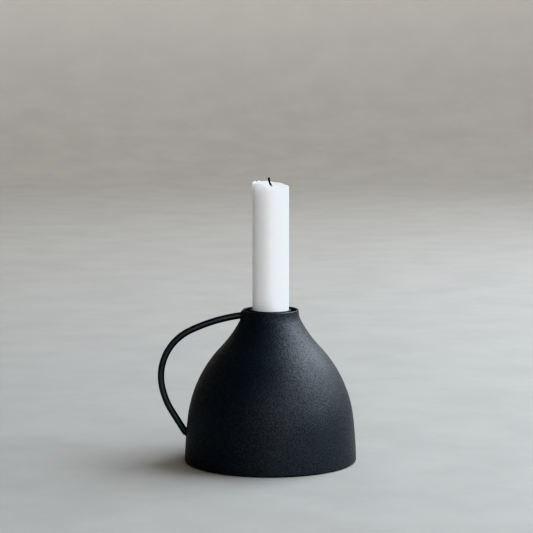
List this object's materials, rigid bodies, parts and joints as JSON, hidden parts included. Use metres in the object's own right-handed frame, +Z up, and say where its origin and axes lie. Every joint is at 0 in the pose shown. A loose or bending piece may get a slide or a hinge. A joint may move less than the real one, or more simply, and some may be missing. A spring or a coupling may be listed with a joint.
{
  "type": "candle holder",
  "caption": "Low bell-shaped black metal chamberstick with a round wire finger handle, holding one straight white dinner candle in a cup in its neck.",
  "frame": {"origin": "on the axis of the bell, at the underside of the felt that the holder stands on", "axes": "+Z up along the bell and the candle; the handle is on the -X side, in the XZ plane"},
  "size_m": [0.121, 0.1046, 0.1735],
  "materials": {
    "powder_coat": "matte black powder coat with a fine sandy texture",
    "felt": "pressed black felt",
    "wax": "smooth white candle wax, slightly translucent",
    "burnt_wick": "charred cotton braid"
  },
  "bodies": {
    "holder": {"body_shell": "powder_coat", "handle": "powder_coat", "handle_weld_upper": "powder_coat", "handle_weld_lower": "powder_coat", "candle_cup": "powder_coat", "cup_support_ring": "powder_coat", "ring_tack_welds": "powder_coat", "base_plate": "powder_coat", "base_tack_welds": "powder_coat", "felt_pad": "felt"},
    "candle": {"candle": "wax", "wick": "burnt_wick"}
  },
  "joints": [
    {"name": "candle_lift", "type": "slide", "parent": "holder", "child": "candle", "axis": [0, 0, 1], "range_m": [0, 0.05]}
  ]
}
